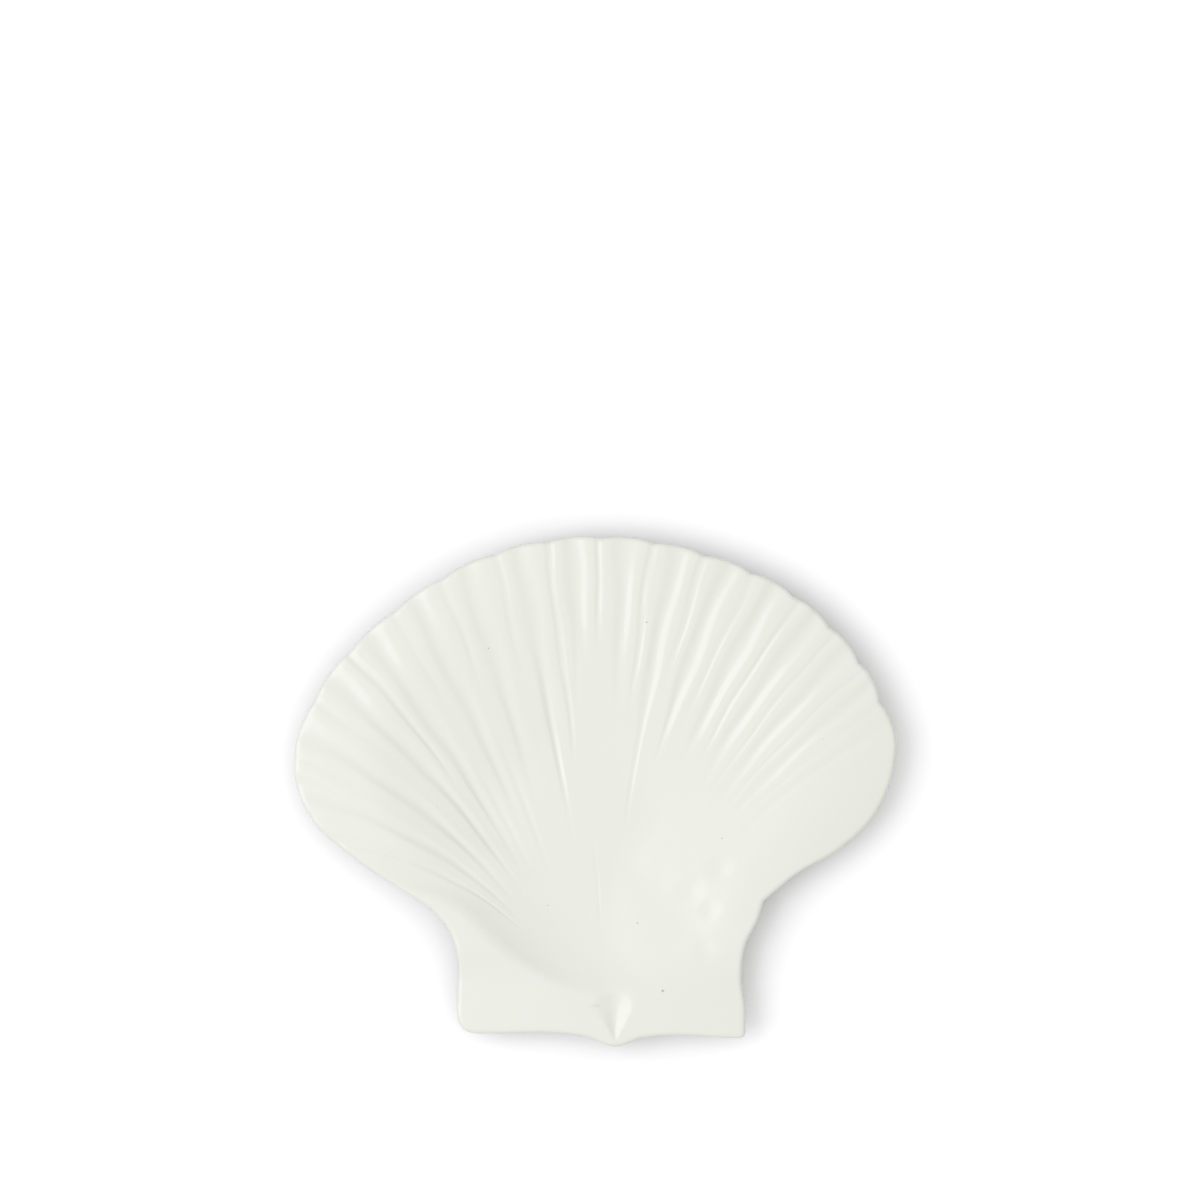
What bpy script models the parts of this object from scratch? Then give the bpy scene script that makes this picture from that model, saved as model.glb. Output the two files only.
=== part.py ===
"""Shell-shaped platter: one piece of white glazed ceramic, cast in a mould.

X runs across the fan, Y from the hinge to the top of the fan, Z up from the table. The origin is
on the table, under the middle of the outline. The platter is drawn first as a flat coin of rings
and columns, and then every point of the coin is moved to its place on the shell.
"""
import math

import bmesh
import bpy
import numpy as np

# Driving dimensions, in metres
WIDTH = 0.300
LENGTH = 0.254
HEIGHT = 0.020
WALL = 0.0048
RIB_DEPTH = 0.0010
NOTCH_DEPTH = 0.0007
LOBE_REACH_RIGHT = 0.0012
LOBE_REACH_LEFT = 0.0006
FOOT_HEIGHT = 0.0028
FOOT_WIDTH = 0.104
FOOT_LENGTH = 0.078
FOOT_BAND = 0.006
FOOT_ROUND = 0.0008
EAR_REACH_LEFT = 0.0690
EAR_REACH_RIGHT = 0.0745
EAR_CORNER_LEFT = 0.0090
EAR_CORNER_RIGHT = 0.0027
EAR_DROP = 0.0008
EAR_DROOP = 0.0025
EAR_DEPTH = 0.030
EAR_BLEND = 0.020
EAR_ROUND = 0.0020
BEAK_WIDTH = 0.034
BEAK_REACH = 0.0050
BEAK_X = 0.0095
POCKET_LENGTH = 0.032
POCKET_TAPER = 0.018
POCKET_WIDTH = 0.022
POCKET_DEPTH = 0.0026

# Where the ribs spring from, and the lowest point of the bowl
RIB_ROOT = np.array((0.0058, -0.1050))
BOWL_BOTTOM = np.array((0.0068, -0.0275))
FOOT_CENTRE = np.array((0.0050, -0.0150))

# The rim, as shares of half the width and half the length
RIGHT_FLANK = ((0.558, -0.429), (0.668, -0.323), (0.802, -0.228), (0.918, -0.094), (0.977, 0.059),
               (1.000, 0.197))
RIBBED_RIM = ((1.000, 0.197), (0.875, 0.484), (0.662, 0.760), (0.375, 0.920), (0.012, 0.994), (-0.325, 0.932),
              (-0.665, 0.707), (-0.928, 0.364), (-0.998, 0.134), (-0.952, -0.091), (-0.788, -0.276))
LEFT_FLANK = ((-0.788, -0.276), (-0.668, -0.369), (-0.548, -0.457))
# The ears' sides: shares of the way in from the side to the neck, and of the rise to the neck
LEFT_EAR_SIDE = ((1.0, 1.0), (0.3, 0.75), (0.0, 0.5), (0.0, 0.0))
RIGHT_EAR_SIDE = ((0.0, 0.0), (0.0, 0.15), (-0.2, 0.38), (0.0, 0.65), (0.7, 0.86), (1.0, 1.0))
# The edge of the bowl where the ears begin, from the left neck to the right neck
LEFT_CREASE = ((-0.620, -0.370), (-0.480, -0.430), (-0.315, -0.610), (-0.182, -0.740), (-0.008, -0.795))
RIGHT_CREASE = ((0.125, -0.800), (0.235, -0.770), (0.368, -0.715), (0.468, -0.630), (0.518, -0.512))

# How many ribs there are, and how the mesh divides the coin
RIBS = 17
RIB_GROWTH = 0.27
SAMPLES = (0.0, 0.10, 0.20, 0.35, 0.50, 0.65, 0.80, 0.90)
CREST = 0.20
RIGHT_FLANK_COLUMNS = 12
LEFT_FLANK_COLUMNS = 4
LEFT_EAR_COLUMNS = 12
HINGE_COLUMNS = 28
RIGHT_EAR_COLUMNS = 8
COARSE_ROWS = (0.02, 0.05, 0.09, 0.14)
MIDDLE_ROWS = (0.20, 0.27, 0.35, 0.44, 0.53)
FINE_ROWS = (0.62, 0.72, 0.82, 0.90, 0.96, 1.0)
RIM_STEPS = 2
FOOT_SEGMENTS = 64

# How the ribs bend outward on their way to the rim, counted in ribs from the right
BEND_PLACES = (-1, -0.6, 0, 1, 5.5, 7.8, 10.5, 12.7, 13.8, 15.5, 16.4, 17, 18)
BEND_DEGREES = (0, 8, 14, 14, 9, 0, 0, -6, -13, -20, -16, -9, 0)
# How far apart the ribs on the left start from the root
ROOT_SPREAD = 0.013
SPREAD_DEGREES = (-180, -130, -50, 0)
SPREAD_END = 0.15
# Where the ribs fade towards the hinge, on the right, in the middle and on the left of the fan
FADE_START = (0.45, 0.30, 0.12)
FADE_END = (0.72, 0.82, 0.40)
FIRST_RIBS = 1.5
LAST_RIBS = 2.5
RIM_FADE = 0.92
RIM_RELIEF = 0.4
# The bowl's section by direction in degrees from its lowest point: where the floor ends and where the
# lip begins, in shares of the way to the edge, how far the lip droops, how crisp the edge is at the
# ears, and over what share it is rounded
FLOOR_SHARES = ((0, 0.05), (60, 0.12), (120, 0.26), (180, 0.30), (240, 0.20), (300, 0.10))
LIP_SHARES = ((0, 0.76), (30, 0.84), (60, 0.91), (90, 0.93), (120, 0.92), (150, 0.86), (180, 0.80),
              (200, 0.94), (225, 1.00), (270, 1.00), (315, 1.00), (335, 0.88))
LIP_DROOPS = ((0, 0.050), (45, 0.045), (90, 0.030), (135, 0.028), (180, 0.028), (205, 0.010), (230, 0.0),
              (270, 0.0), (315, 0.0), (335, 0.018))
CRISPNESS = ((0, 0.0), (90, 0.0), (180, 0.0), (200, 0.9), (230, 1.0), (265, 0.9), (290, 0.6), (320, 0.5),
             (345, 0.2))
CREASE_ROUNDS = ((0, 0.20), (90, 0.10), (180, 0.05), (230, 0.05), (270, 0.10), (310, 0.25))
ROUNDING = 0.30
CREASE_POWER = 2.4
EDGE_BLUR_LEFT = 4
EDGE_BLUR_RIGHT = 18
UNDERSIDE_RELIEF = 0.6
RIM_MATCH = 6
SLOPE_STEP = 0.002
POCKET_TIP = 0.05

FLOOR = FOOT_HEIGHT + WALL
HINGE_Y = BEAK_REACH - LENGTH / 2
RIM_RADIUS = WALL / 2
PHASES = np.concatenate([rib + np.array(SAMPLES) for rib in range(RIBS)] + [[RIBS]])


def spline(points, samples=12):
    """Points along a smooth curve through the given ones, and the length of the curve at each."""
    knots = np.array(points, float)
    legs = np.linalg.norm(np.diff(knots, axis=0), axis=1)[:, None]
    ways = np.diff(knots, axis=0) / legs
    turns = (ways[:-1] * legs[1:] + ways[1:] * legs[:-1]) / (legs[1:] + legs[:-1])
    turns = np.vstack([ways[:1], turns, ways[-1:]])
    t = (np.arange(samples) / samples)[:, None]
    pieces = []
    for start, end, leg, leave, arrive in zip(knots, knots[1:], legs, turns, turns[1:]):
        pieces.append(start + (end - start) * t * t * (3 - 2 * t)
                      + leg * (leave * t * (1 - t) ** 2 - arrive * t * t * (1 - t)))
    curve = np.vstack(pieces + [knots[-1:]])
    length = np.concatenate([[0], np.cumsum(np.linalg.norm(np.diff(curve, axis=0), axis=1))])
    return curve, length / length[-1]


def on_plan(shares):
    """Outline points in metres, from shares of half the width and half the length."""
    return [(across * WIDTH / 2, along * LENGTH / 2) for across, along in shares]


def hinge_line():
    """The straight front edge from the left ear to the right one, with the beak's bump."""
    points = [(EAR_CORNER_LEFT - EAR_REACH_LEFT, HINGE_Y)]
    for t in np.linspace(-1, 1, 9):
        bump = BEAK_REACH * math.cos(t * math.pi / 2) ** 2
        points.append((BEAK_X + t * BEAK_WIDTH / 2, HINGE_Y - bump))
    points.append((EAR_REACH_RIGHT - EAR_CORNER_RIGHT, HINGE_Y))
    return points


def ear_side(shares, side, bottom, neck):
    """An ear's side, between its lower end and the neck."""
    return [(side + (neck[0] - side) * across, bottom + (neck[1] - bottom) * rise) for across, rise in shares]


def corner(x, radius, degrees):
    """An ear's rounded corner beside the hinge line."""
    return [(x + radius * math.cos(math.radians(d)), HINGE_Y + radius * (1 + math.sin(math.radians(d))))
            for d in degrees]


def left_ear_side():
    """From the left neck down the side of the ear and round its soft corner."""
    side = ear_side(LEFT_EAR_SIDE, -EAR_REACH_LEFT, HINGE_Y + 2 * EAR_CORNER_LEFT, on_plan(LEFT_FLANK)[-1])
    return side + corner(EAR_CORNER_LEFT - EAR_REACH_LEFT, EAR_CORNER_LEFT, (180, 210, 240, 270))


def right_ear_side():
    """Round the small right corner and up the hollow side of the ear to the right neck."""
    side = ear_side(RIGHT_EAR_SIDE, EAR_REACH_RIGHT, HINGE_Y + 2 * EAR_CORNER_RIGHT, on_plan(RIGHT_FLANK)[0])
    return corner(EAR_REACH_RIGHT - EAR_CORNER_RIGHT, EAR_CORNER_RIGHT, (270, 300, 330, 360)) + side


STRETCHES = (
    (RIGHT_FLANK_COLUMNS, spline(on_plan(RIGHT_FLANK))),
    (RIBS * len(SAMPLES), spline(on_plan(RIBBED_RIM))),
    (LEFT_FLANK_COLUMNS, spline(on_plan(LEFT_FLANK))),
    (LEFT_EAR_COLUMNS, spline(left_ear_side())),
    (HINGE_COLUMNS, spline(hinge_line())),
    (RIGHT_EAR_COLUMNS, spline(right_ear_side())),
)
COLUMNS = sum(count for count, curve in STRETCHES)
FAN_COLUMNS = sum(count for count, curve in STRETCHES[:3])


def fan_place(column):
    """How far a column is along the fan, counted in ribs from the right: below 0 on the right flank."""
    along = np.asarray(column, float) - RIGHT_FLANK_COLUMNS
    beyond = along - RIBS * len(SAMPLES)
    place = np.where(along < 0, along / RIGHT_FLANK_COLUMNS, np.interp(along, np.arange(len(PHASES)), PHASES))
    return np.where(beyond > 0, RIBS + beyond / LEFT_FLANK_COLUMNS, place)


def outline():
    """The outline's points in metres, one for each column."""
    points = []
    for number, (count, (curve, length)) in enumerate(STRETCHES):
        share = np.arange(count) / count
        if number == 1:
            place = PHASES[:-1]
            share = place / RIBS * (1 + RIB_GROWTH * place / RIBS) / (1 + RIB_GROWTH)
        stretch = np.column_stack([np.interp(share, length, curve[:, axis]) for axis in (0, 1)])
        if number == 1:
            away = stretch - BOWL_BOTTOM
            away /= np.linalg.norm(away, axis=1, keepdims=True)
            reach = LOBE_REACH_RIGHT + (LOBE_REACH_LEFT - LOBE_REACH_RIGHT) * place / RIBS
            stretch += away * (reach * np.sin(math.pi * (place % 1)))[:, None]
        points.append(stretch)
    return np.vstack(points)


def outward():
    """The way out of the outline at each column, longer at a corner so that the rim stays as wide."""
    before = OUTLINE - np.roll(OUTLINE, 1, axis=0)
    after = np.roll(OUTLINE, -1, axis=0) - OUTLINE
    before /= np.linalg.norm(before, axis=1, keepdims=True)
    after /= np.linalg.norm(after, axis=1, keepdims=True)
    along = (before + after) / (1 + (before * after).sum(axis=1, keepdims=True))
    return np.stack([along[:, 1], -along[:, 0]], axis=1)


OUTLINE = outline()
OUTWARD = outward()


def all_round(table):
    """A smooth curve through values by direction in degrees, closed over the full turn."""
    ends = [(degrees - 360, value) for degrees, value in table[-2:]]
    begins = [(degrees + 360, value) for degrees, value in table[:2]]
    curve = spline(ends + list(table) + begins)[0]
    values = [value for degrees, value in table]
    return np.column_stack([curve[:, 0], np.clip(curve[:, 1], min(values), max(values))])


def bowl_edge():
    """How far the bowl's edge is from its lowest point, by whole degrees, smoother on the right."""
    crease = spline(on_plan(LEFT_CREASE + RIGHT_CREASE))[0]
    away = np.vstack([OUTLINE[:FAN_COLUMNS + 1], crease]) - BOWL_BOTTOM
    degrees = np.degrees(np.arctan2(away[:, 1], away[:, 0])) % 360
    order = np.argsort(degrees)
    whole = np.arange(360)
    reach = np.interp(whole, degrees[order], np.linalg.norm(away, axis=1)[order], period=360)
    left, right = (np.mean([np.roll(reach, turn) for turn in range(-blur, blur + 1)], axis=0)
                   for blur in (EDGE_BLUR_LEFT, EDGE_BLUR_RIGHT))
    return left + (right - left) * (0.5 + 0.5 * np.cos(np.radians(whole)))


EDGE_REACH = bowl_edge()
CURVES = [all_round(table) for table in (FLOOR_SHARES, LIP_SHARES, LIP_DROOPS, CRISPNESS, CREASE_ROUNDS)]


def smooth_step(value):
    """Eases from 0 to 1, and stays there on both sides."""
    value = np.clip(value, 0.0, 1.0)
    return value * value * (3 - 2 * value)


def ramp(climb):
    """Rises from 0 to 1 at one slope, rounded off at both ends."""
    climb = np.clip(climb, 0, 1)
    low = np.minimum(climb, 1 - climb)
    eased = np.where(low < ROUNDING, low ** 2 / (2 * ROUNDING), low - ROUNDING / 2) / (1 - ROUNDING)
    return np.where(climb < 0.5, eased, 1 - eased)


def soft_min(first, second, blend):
    """The lower of two values, rounded over where they meet."""
    share = np.clip(0.5 + 0.5 * (second - first) / blend, 0.0, 1.0)
    return second + (first - second) * share - blend * share * (1 - share)


def bowl_height(points):
    """Height of the smooth bowl, without ribs: a low floor, a rising wall and a lip that rolls over."""
    away = points - BOWL_BOTTOM
    degrees = np.degrees(np.arctan2(away[:, 1], away[:, 0])) % 360
    edge = np.interp(degrees, np.arange(360), EDGE_REACH, period=360)
    share = np.linalg.norm(away, axis=1) / edge
    flat, lip, droop, crisp, rounding = (np.interp(degrees, *curve.T) for curve in CURVES)
    rolled = ramp((share - flat) / (lip - flat))
    creased = soft_min(share, 1.0, rounding) ** CREASE_POWER
    sunk = droop * np.maximum(share - lip, 0.0) ** 2
    return FLOOR + (HEIGHT - FLOOR) * (rolled + crisp * (creased - rolled)) - sunk


def pocket_cut(points):
    """How deep the beak's V-shaped pocket is at each point."""
    from_tip = points[:, 1] + LENGTH / 2 - RIM_RADIUS
    opening = np.clip(from_tip / POCKET_LENGTH, 0, 1)
    half_width = POCKET_WIDTH / 2 * np.clip(from_tip / POCKET_TAPER, POCKET_TIP, 1)
    across = np.clip(np.abs(points[:, 0] - BEAK_X) / half_width, 0, 1)
    return POCKET_DEPTH * np.sin(math.pi * opening) * (1 - smooth_step(across))


def relief(column, share):
    """Depth of the ribs below their crests: a broad channel in each rib and a narrow notch between."""
    place = fan_place(column)
    phase = place % 1
    channel = 0.5 + 0.5 * np.cos(math.pi * (phase - 0.5) / (0.5 - CREST))
    notch = 0.5 + 0.5 * np.cos(math.pi * np.minimum(phase, 1 - phase) / CREST)
    depth = np.where((phase >= CREST) & (phase <= 1 - CREST), RIB_DEPTH * channel, NOTCH_DEPTH * notch)
    across = (0, RIBS / 2, RIBS)
    start = np.interp(place, across, FADE_START)
    end = np.interp(place, across, FADE_END)
    ends = smooth_step(place / FIRST_RIBS) * smooth_step((RIBS - place) / LAST_RIBS)
    inner = smooth_step((share - start) / (end - start))
    outer = 1 - (1 - RIM_RELIEF) * smooth_step((share - RIM_FADE) / (1 - RIM_FADE))
    return np.where((place >= 0) & (place <= RIBS), depth * ends * inner * outer, 0.0)


def plan_place(column, share):
    """Where a column is at a share of its length: the columns follow the ribs, bending outward."""
    end = OUTLINE[column] - OUTWARD[column] * RIM_RADIUS
    chord = end - RIB_ROOT
    bearing = np.arctan2(chord[:, 0], chord[:, 1])
    start = bearing - np.radians(np.interp(fan_place(column), BEND_PLACES, BEND_DEGREES))
    half = np.linalg.norm(chord, axis=1)[:, None] / 2
    middle = RIB_ROOT + np.stack([np.sin(start), np.cos(start)], axis=1) * half
    share = share[:, None]
    points = RIB_ROOT * (1 - share) ** 2 + middle * (2 * share * (1 - share)) + end * share ** 2
    spread = ROOT_SPREAD * smooth_step(np.interp(np.degrees(bearing), SPREAD_DEGREES, (0, 1, 1, 0)))
    points[:, 0] -= spread * smooth_step(share[:, 0] / SPREAD_END) * (1 - share[:, 0])
    return points


def top_height(points, column, share):
    """Height of the glazed upper face: the ribbed bowl, and the ears with the beak's pocket."""
    bowl = bowl_height(points) - relief(column, share)
    level = HEIGHT - EAR_DROP - EAR_DROOP * ((points[:, 0] - BEAK_X) / EAR_REACH_RIGHT) ** 2
    ears = soft_min(bowl, level - pocket_cut(points), EAR_ROUND)
    in_ears = smooth_step(1 + (EAR_DEPTH - LENGTH / 2 - points[:, 1]) / EAR_BLEND)
    return bowl + (ears - bowl) * in_ears


def slope_factor(points):
    """How much longer the wall is measured straight down than square to its face."""
    slopes = []
    for way in (np.array((SLOPE_STEP, 0)), np.array((0, SLOPE_STEP))):
        slopes.append((bowl_height(points + way) - bowl_height(points - way)) / (2 * SLOPE_STEP))
    return np.sqrt(1 + slopes[0] ** 2 + slopes[1] ** 2)


def shell_places(flat):
    """The places of the coin's points on the shell: z is 1 on top, 0 at the rim's middle, -1 below."""
    share = np.hypot(flat[:, 0], flat[:, 1])
    turn = np.arctan2(flat[:, 1], flat[:, 0]) % (2 * math.pi)
    column = np.round(turn / (2 * math.pi) * COLUMNS).astype(int) % COLUMNS
    points = plan_place(column, share)
    top = top_height(points, column, share)
    smoothed = relief(column, share) * (1 - UNDERSIDE_RELIEF) * (1 - share ** RIM_MATCH)
    under = top - WALL * slope_factor(points) + smoothed
    roll = flat[:, 2] * math.pi / 2
    rim = np.abs(flat[:, 2]) < 1
    points = points + OUTWARD[column] * (RIM_RADIUS * np.cos(roll) * rim)[:, None]
    return np.column_stack([points, (top + under) / 2 + (top - under) / 2 * np.sin(roll)])


def open_edges(items):
    """The edges among some new geometry that have a face on one side only."""
    return [item for item in items if isinstance(item, bmesh.types.BMEdge) and len(item.link_faces) == 1]


def grow_ring(bm, ring, radius):
    """Extrudes the outer ring of edges and moves it outward to the given radius."""
    grown = bmesh.ops.extrude_edge_only(bm, edges=ring)["geom"]
    for vert in [item for item in grown if isinstance(item, bmesh.types.BMVert)]:
        vert.co = vert.co.normalized() * radius
    return open_edges(grown)


def divide_ring(bm, ring, radius):
    """Puts a new vertex in the middle of each edge of the outer ring."""
    divided = bmesh.ops.subdivide_edges(bm, edges=ring, cuts=1)["geom_split"]
    for vert in [item for item in divided if isinstance(item, bmesh.types.BMVert)]:
        vert.co = vert.co.normalized() * radius
    return [item for item in divided if isinstance(item, bmesh.types.BMEdge)]


def coin():
    """A flat coin of rings and columns: columns double outward, and the lower half is mirrored."""
    bm = bmesh.new()
    bmesh.ops.create_circle(bm, cap_ends=True, cap_tris=True, segments=COLUMNS // 4, radius=COARSE_ROWS[0])
    ring = open_edges(bm.edges)
    for radius in COARSE_ROWS[1:]:
        ring = grow_ring(bm, ring, radius)
    ring = divide_ring(bm, ring, COARSE_ROWS[-1])
    for radius in MIDDLE_ROWS:
        ring = grow_ring(bm, ring, radius)
    ring = divide_ring(bm, ring, MIDDLE_ROWS[-1])
    for radius in FINE_ROWS:
        ring = grow_ring(bm, ring, radius)
    bmesh.ops.translate(bm, verts=bm.verts, vec=(0, 0, 1))
    for step in range(RIM_STEPS):
        grown = bmesh.ops.extrude_edge_only(bm, edges=ring)["geom"]
        verts = [item for item in grown if isinstance(item, bmesh.types.BMVert)]
        bmesh.ops.translate(bm, verts=verts, vec=(0, 0, -1 / RIM_STEPS))
        ring = open_edges(grown)
    bmesh.ops.mirror(bm, geom=bm.verts[:] + bm.edges[:] + bm.faces[:], axis="Z", merge_dist=1e-5)
    return bm


def finished_mesh(bm, name):
    """A mesh of triangles that face outward."""
    bmesh.ops.triangulate(bm, faces=bm.faces)
    bmesh.ops.recalc_face_normals(bm, faces=bm.faces)
    mesh = bpy.data.meshes.new(name)
    bm.to_mesh(mesh)
    bm.free()
    return mesh


def shell():
    """The ribbed shell as a closed solid."""
    bm = coin()
    places = shell_places(np.array([vert.co for vert in bm.verts]))
    for vert, place in zip(bm.verts, places):
        vert.co = place
    return finished_mesh(bm, "platter")


def foot_ring():
    """The oval foot: a flat band on the table whose top is buried half-way in the wall."""
    bm = bmesh.new()
    section = ((0.0, FOOT_ROUND), (FOOT_ROUND, 0.0), (FOOT_BAND - FOOT_ROUND, 0.0), (FOOT_BAND, FOOT_ROUND))
    loops = []
    for inset, height in section + ((FOOT_BAND, None), (0.0, None)):
        circle = bmesh.ops.create_circle(bm, segments=FOOT_SEGMENTS, radius=1.0)["verts"]
        turns = np.array([vert.co.xy for vert in circle])
        plan = FOOT_CENTRE + turns * (np.array((FOOT_WIDTH, FOOT_LENGTH)) / 2 - inset)
        heights = bowl_height(plan) - WALL / 2 if height is None else np.full(len(plan), height)
        for vert, (x, y), z in zip(circle, plan, heights):
            vert.co = (x, y, z)
        loops.append(list({edge for vert in circle for edge in vert.link_edges}))
    for lower, upper in zip(loops, loops[1:] + loops[:1]):
        bmesh.ops.bridge_loops(bm, edges=lower + upper)
    return finished_mesh(bm, "foot_cutter")


def glazed_ceramic():
    """White glazed ceramic, with a soft gloss."""
    material = bpy.data.materials.new("glazed_ceramic")
    material.use_nodes = True
    shader = material.node_tree.nodes["Principled BSDF"]
    shader.inputs["Base Color"].default_value = (0.871, 0.880, 0.839, 1.0)
    shader.inputs["Roughness"].default_value = 0.18
    shader.inputs["Metallic"].default_value = 0.0
    return material


def build():
    for item in list(bpy.data.objects):
        bpy.data.objects.remove(item, do_unlink=True)
    platter = bpy.data.objects.new("platter", shell())
    foot = bpy.data.objects.new("foot_guide", foot_ring())
    foot.hide_render = True
    foot.display_type = "WIRE"
    for item in (platter, foot):
        bpy.context.scene.collection.objects.link(item)
    join = platter.modifiers.new("foot", "BOOLEAN")
    join.operation = "UNION"
    join.object = foot
    platter.data.materials.append(glazed_ceramic())
    platter.data.shade_smooth()
    platter.data.set_sharp_from_angle(angle=math.radians(35))


build()
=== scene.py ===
# %% [markdown]
# # A shell-shaped platter in white glazed ceramic
# The real platter is pressed in one piece from pale clay and dipped in a glossy white glaze. It is a
# shallow scallop shell: ribs fan out from the hinge, two flat ears stand beside a small beak, and an
# oval foot ring carries it. The solid model gives the size and place, and this script gives the
# finished surface. All lengths are in metres.

import math

import bmesh
import bpy
import numpy as np
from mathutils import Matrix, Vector


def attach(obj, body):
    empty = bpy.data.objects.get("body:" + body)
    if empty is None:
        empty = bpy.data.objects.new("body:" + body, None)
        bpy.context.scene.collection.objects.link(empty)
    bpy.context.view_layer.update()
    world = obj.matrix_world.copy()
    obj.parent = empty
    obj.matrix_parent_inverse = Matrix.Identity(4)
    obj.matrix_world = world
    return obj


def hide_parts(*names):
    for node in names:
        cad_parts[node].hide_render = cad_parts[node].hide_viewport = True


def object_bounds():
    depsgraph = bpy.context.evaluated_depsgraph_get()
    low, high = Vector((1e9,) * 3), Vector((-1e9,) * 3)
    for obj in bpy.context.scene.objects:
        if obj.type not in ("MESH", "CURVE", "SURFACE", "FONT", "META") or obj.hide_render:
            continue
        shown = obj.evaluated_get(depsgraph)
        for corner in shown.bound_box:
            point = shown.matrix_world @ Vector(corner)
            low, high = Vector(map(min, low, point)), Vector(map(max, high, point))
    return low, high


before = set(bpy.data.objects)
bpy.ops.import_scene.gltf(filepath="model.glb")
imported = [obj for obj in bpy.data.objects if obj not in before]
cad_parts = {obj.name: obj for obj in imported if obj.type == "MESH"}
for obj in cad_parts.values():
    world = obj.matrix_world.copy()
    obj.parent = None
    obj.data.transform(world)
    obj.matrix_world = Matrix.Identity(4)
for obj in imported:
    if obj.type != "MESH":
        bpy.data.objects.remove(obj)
cad_low, cad_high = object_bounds()
WIDTH = cad_high.x - cad_low.x
LENGTH = cad_high.y - cad_low.y
HEIGHT = cad_high.z - cad_low.z
print(f"solid model: {WIDTH * 1000:.1f} x {LENGTH * 1000:.1f} x {HEIGHT * 1000:.1f} mm")

# %% [markdown]
# ## Sizes of the shell
# The wall is even, as a pressed wall is. The solid model's own box has given the width, the length and
# the height, so only the wall, the foot and the bowl's lowest point are still needed.

# %% Wall, foot and bowl
WALL = 0.0048
FOOT_HEIGHT = 0.0028
FLOOR = FOOT_HEIGHT + WALL
RIM_RADIUS = WALL / 2
BOWL_BOTTOM = np.array((0.0068, -0.0275))
TINY = 1e-6
print(f"bowl: {(HEIGHT - FLOOR) * 1000:.1f} mm deep, wall {WALL * 1000:.1f} mm")

# %% [markdown]
# ## The outline
# A smooth curve through a few points gives the plan of the rim. The points are shares of half the width
# and half the length, because the rim is a free curve that no circle describes, and there are only as
# many as its bends need. The two flanks join the ribbed rim to the ears.

# %% The outline's points
RIGHT_FLANK = ((0.558, -0.429), (0.668, -0.323), (0.804, -0.230), (0.923, -0.096), (0.982, 0.058),
               (1.000, 0.197))
RIBBED_RIM = ((1.000, 0.197), (0.883, 0.491), (0.662, 0.760), (0.375, 0.920), (0.012, 0.994),
              (-0.325, 0.932), (-0.665, 0.707), (-0.928, 0.364), (-0.998, 0.134), (-0.952, -0.091),
              (-0.788, -0.276))
LEFT_FLANK = ((-0.788, -0.276), (-0.668, -0.369), (-0.548, -0.457))

# %% Smooth curves through a few points


def spline(points, samples=24):
    """Points along a smooth curve through the given ones, and the length of the curve at each."""
    knots = np.array(points, float)
    legs = np.linalg.norm(np.diff(knots, axis=0), axis=1)[:, None]
    ways = np.diff(knots, axis=0) / legs
    turns = (ways[:-1] * legs[1:] + ways[1:] * legs[:-1]) / (legs[1:] + legs[:-1])
    turns = np.vstack([ways[:1], turns, ways[-1:]])
    t = (np.arange(samples) / samples)[:, None]
    pieces = []
    for start, end, leg, leave, arrive in zip(knots, knots[1:], legs, turns, turns[1:]):
        pieces.append(start + (end - start) * t * t * (3 - 2 * t)
                      + leg * (leave * t * (1 - t) ** 2 - arrive * t * t * (1 - t)))
    curve = np.vstack(pieces + [knots[-1:]])
    length = np.concatenate([[0], np.cumsum(np.linalg.norm(np.diff(curve, axis=0), axis=1))])
    return curve, length / length[-1]


def on_plan(shares):
    """Outline points in metres, from shares of half the width and half the length."""
    return [(across * WIDTH / 2, along * LENGTH / 2) for across, along in shares]


def smooth_step(value):
    """Eases from 0 to 1, and stays there on both sides."""
    value = np.clip(value, 0.0, 1.0)
    return value * value * (3 - 2 * value)


# %% [markdown]
# The hinge line closes the outline at the front. It is straight, but not quite square to the platter:
# the right ear reaches a little lower. The beak bulges out of it. The left ear has a wide soft corner,
# and the right one has a small corner and a hollow side.

# %% The hinge line and the ears' sides
HINGE_SLOPE = 0.018
EAR_REACH_LEFT = 0.0690
EAR_REACH_RIGHT = 0.0745
EAR_CORNER_LEFT = 0.0090
EAR_CORNER_RIGHT = 0.0027
LEFT_EAR_SIDE = ((1.0, 1.0), (0.3, 0.75), (0.0, 0.5), (0.0, 0.0))
RIGHT_EAR_SIDE = ((0.0, 0.0), (0.0, 0.15), (-0.2, 0.38), (0.0, 0.65), (0.7, 0.86), (1.0, 1.0))
BEAK_WIDTH = 0.034
BEAK_REACH = 0.0050
BEAK_X = 0.0095
BEAK_POINTS = 9
HINGE_Y = BEAK_REACH - LENGTH / 2


def hinge_y(x):
    """Where the hinge line is at a place along the width."""
    return HINGE_Y - HINGE_SLOPE * (x - BEAK_X)


def hinge_line():
    """The straight front edge from the left ear to the right one, with the beak's bump."""
    left = EAR_CORNER_LEFT - EAR_REACH_LEFT
    right = EAR_REACH_RIGHT - EAR_CORNER_RIGHT
    points = [(left, hinge_y(left))]
    for t in np.linspace(-1, 1, BEAK_POINTS):
        x = BEAK_X + t * BEAK_WIDTH / 2
        bump = BEAK_REACH * math.cos(t * math.pi / 2) ** 2
        points.append((x, hinge_y(x) - bump))
    return points + [(right, hinge_y(right))]


def ear_side(shares, side, bottom, neck):
    """An ear's side, between its lower end and the neck."""
    return [(side + (neck[0] - side) * across, bottom + (neck[1] - bottom) * rise)
            for across, rise in shares]


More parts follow.
